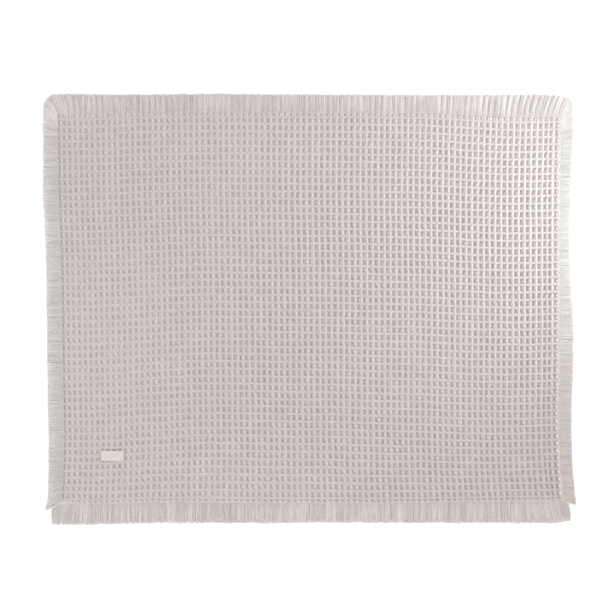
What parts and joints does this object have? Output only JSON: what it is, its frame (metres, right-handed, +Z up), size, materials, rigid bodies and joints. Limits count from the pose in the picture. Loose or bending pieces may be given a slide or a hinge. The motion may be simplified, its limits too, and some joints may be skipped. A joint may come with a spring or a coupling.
{
  "type": "waffle weave cotton blanket",
  "caption": "Rectangular waffle weave cotton blanket laid out flat, with a short fringe of loose yarn ends along all four sides and a small bare sewn label near one corner.",
  "frame": {"origin": "on the surface that the blanket lies on, under the middle of its outline", "axes": "+X along the blanket's width (its longer side) to the right, +Y up its length towards the edge furthest from the label, +Z up out of its face"},
  "size_m": [1.009, 0.8175, 0.0057],
  "materials": {
    "waffle_cotton": "matte, soft, waffle weave cotton in a warm light grey",
    "fringe_cotton": "matte loose cotton yarn ends in a warm light grey",
    "satin_tape": "smooth off-white woven tape"
  },
  "bodies": {
    "root": {"panel": "waffle_cotton", "fringe_top": "fringe_cotton", "fringe_bottom": "fringe_cotton", "fringe_left": "fringe_cotton", "fringe_right": "fringe_cotton", "label": "satin_tape"}
  },
  "joints": []
}
